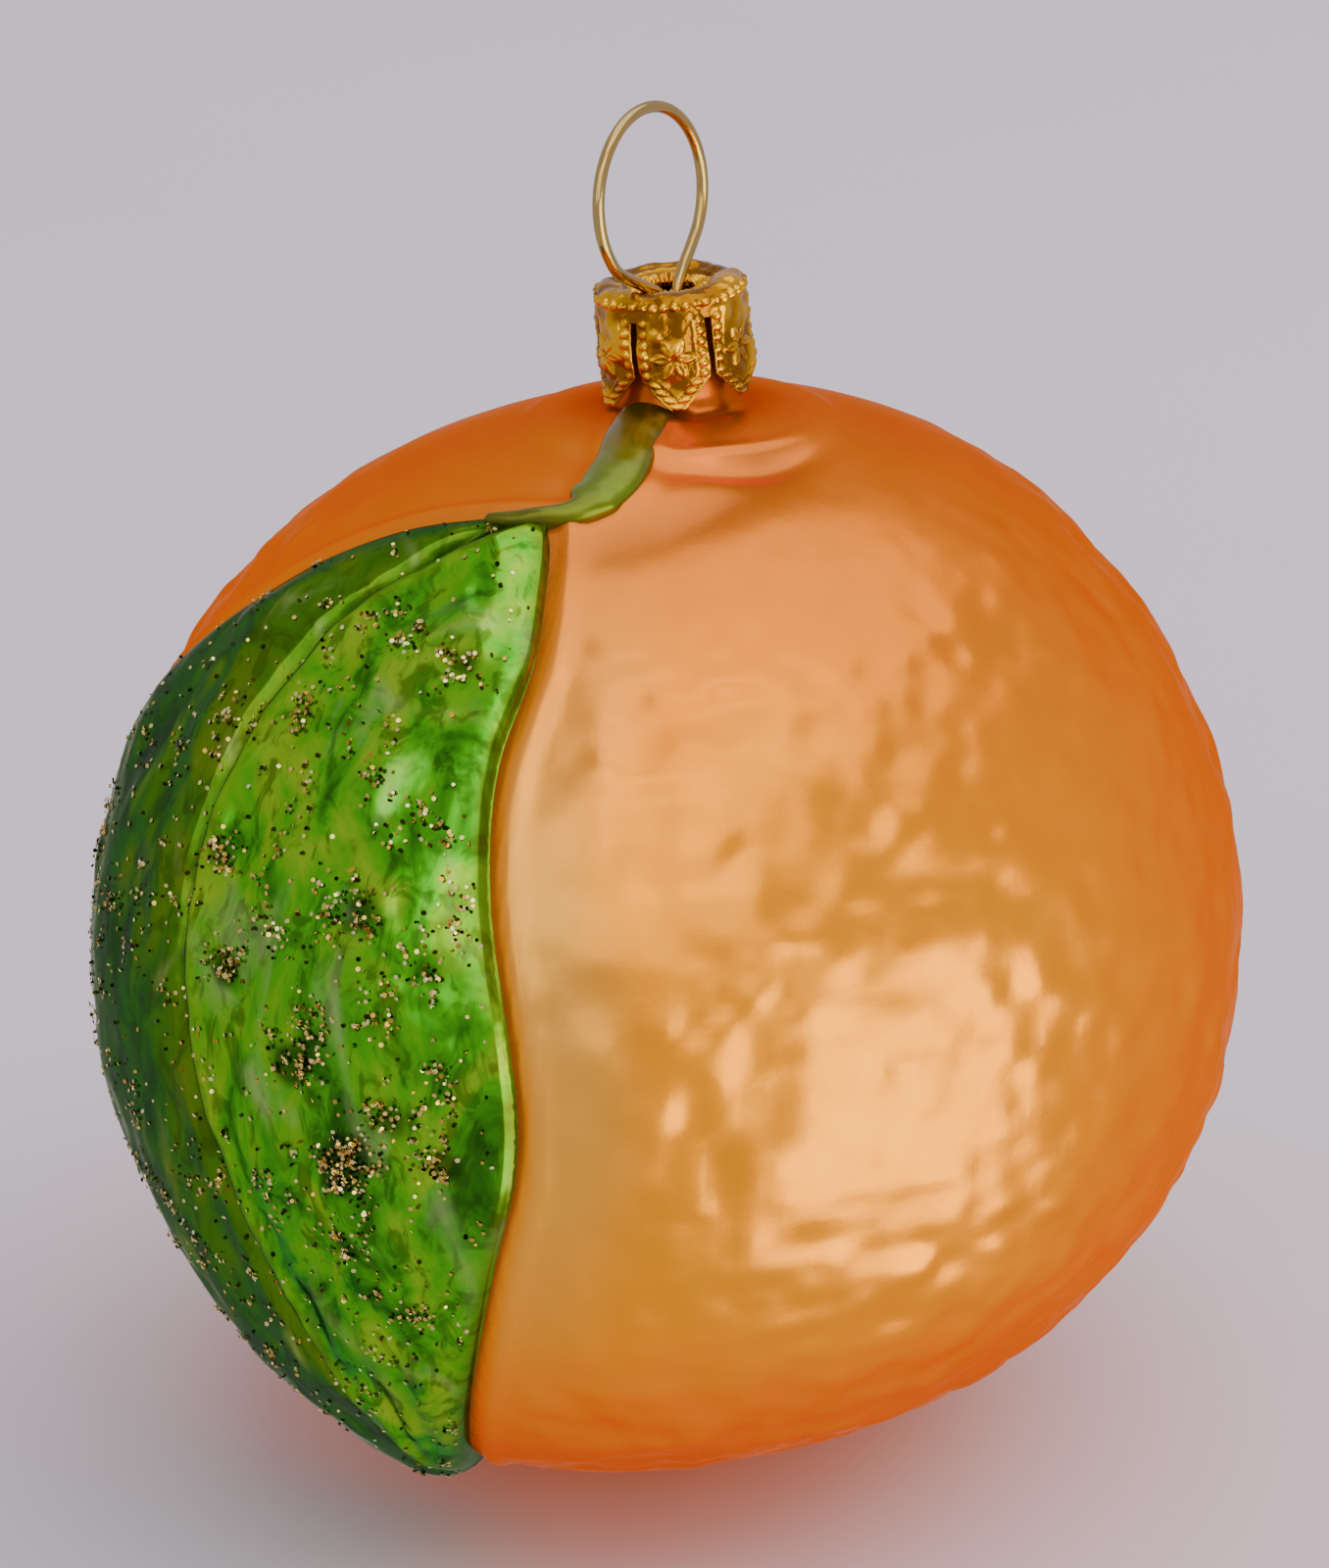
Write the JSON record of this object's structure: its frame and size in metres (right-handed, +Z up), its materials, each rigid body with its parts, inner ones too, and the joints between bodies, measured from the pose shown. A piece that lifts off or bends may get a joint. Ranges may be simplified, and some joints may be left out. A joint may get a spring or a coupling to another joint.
{
  "type": "blown glass tree ornament shaped as an orange",
  "caption": "Hollow blown-glass tree ornament in the shape of an orange with a raised leaf and stem, with a metal crown cap over its neck and a spring-wire ring to hang it by.",
  "frame": {"origin": "the hang point: inside the top of the wire ring, where a hook or thread bears", "axes": "+Z up along the fruit's neck, as it hangs; -Y the front of the fruit, with the leaf on the left of the front; +X to the right"},
  "size_m": [0.0692, 0.0685, 0.0821],
  "materials": {
    "orange_lacquer": "satin translucent orange lacquer over silvered glass",
    "leaf_lacquer": "glossy translucent green lacquer over silvered glass",
    "gold_glitter": "loose metallic glitter",
    "gilt_cap": "bright gold-coloured embossed sheet",
    "pale_gilt_wire": "pale gold spring wire"
  },
  "bodies": {
    "root": {"glass_body": "orange_lacquer", "cap": "gilt_cap", "hanger_wire": "pale_gilt_wire"}
  },
  "joints": []
}
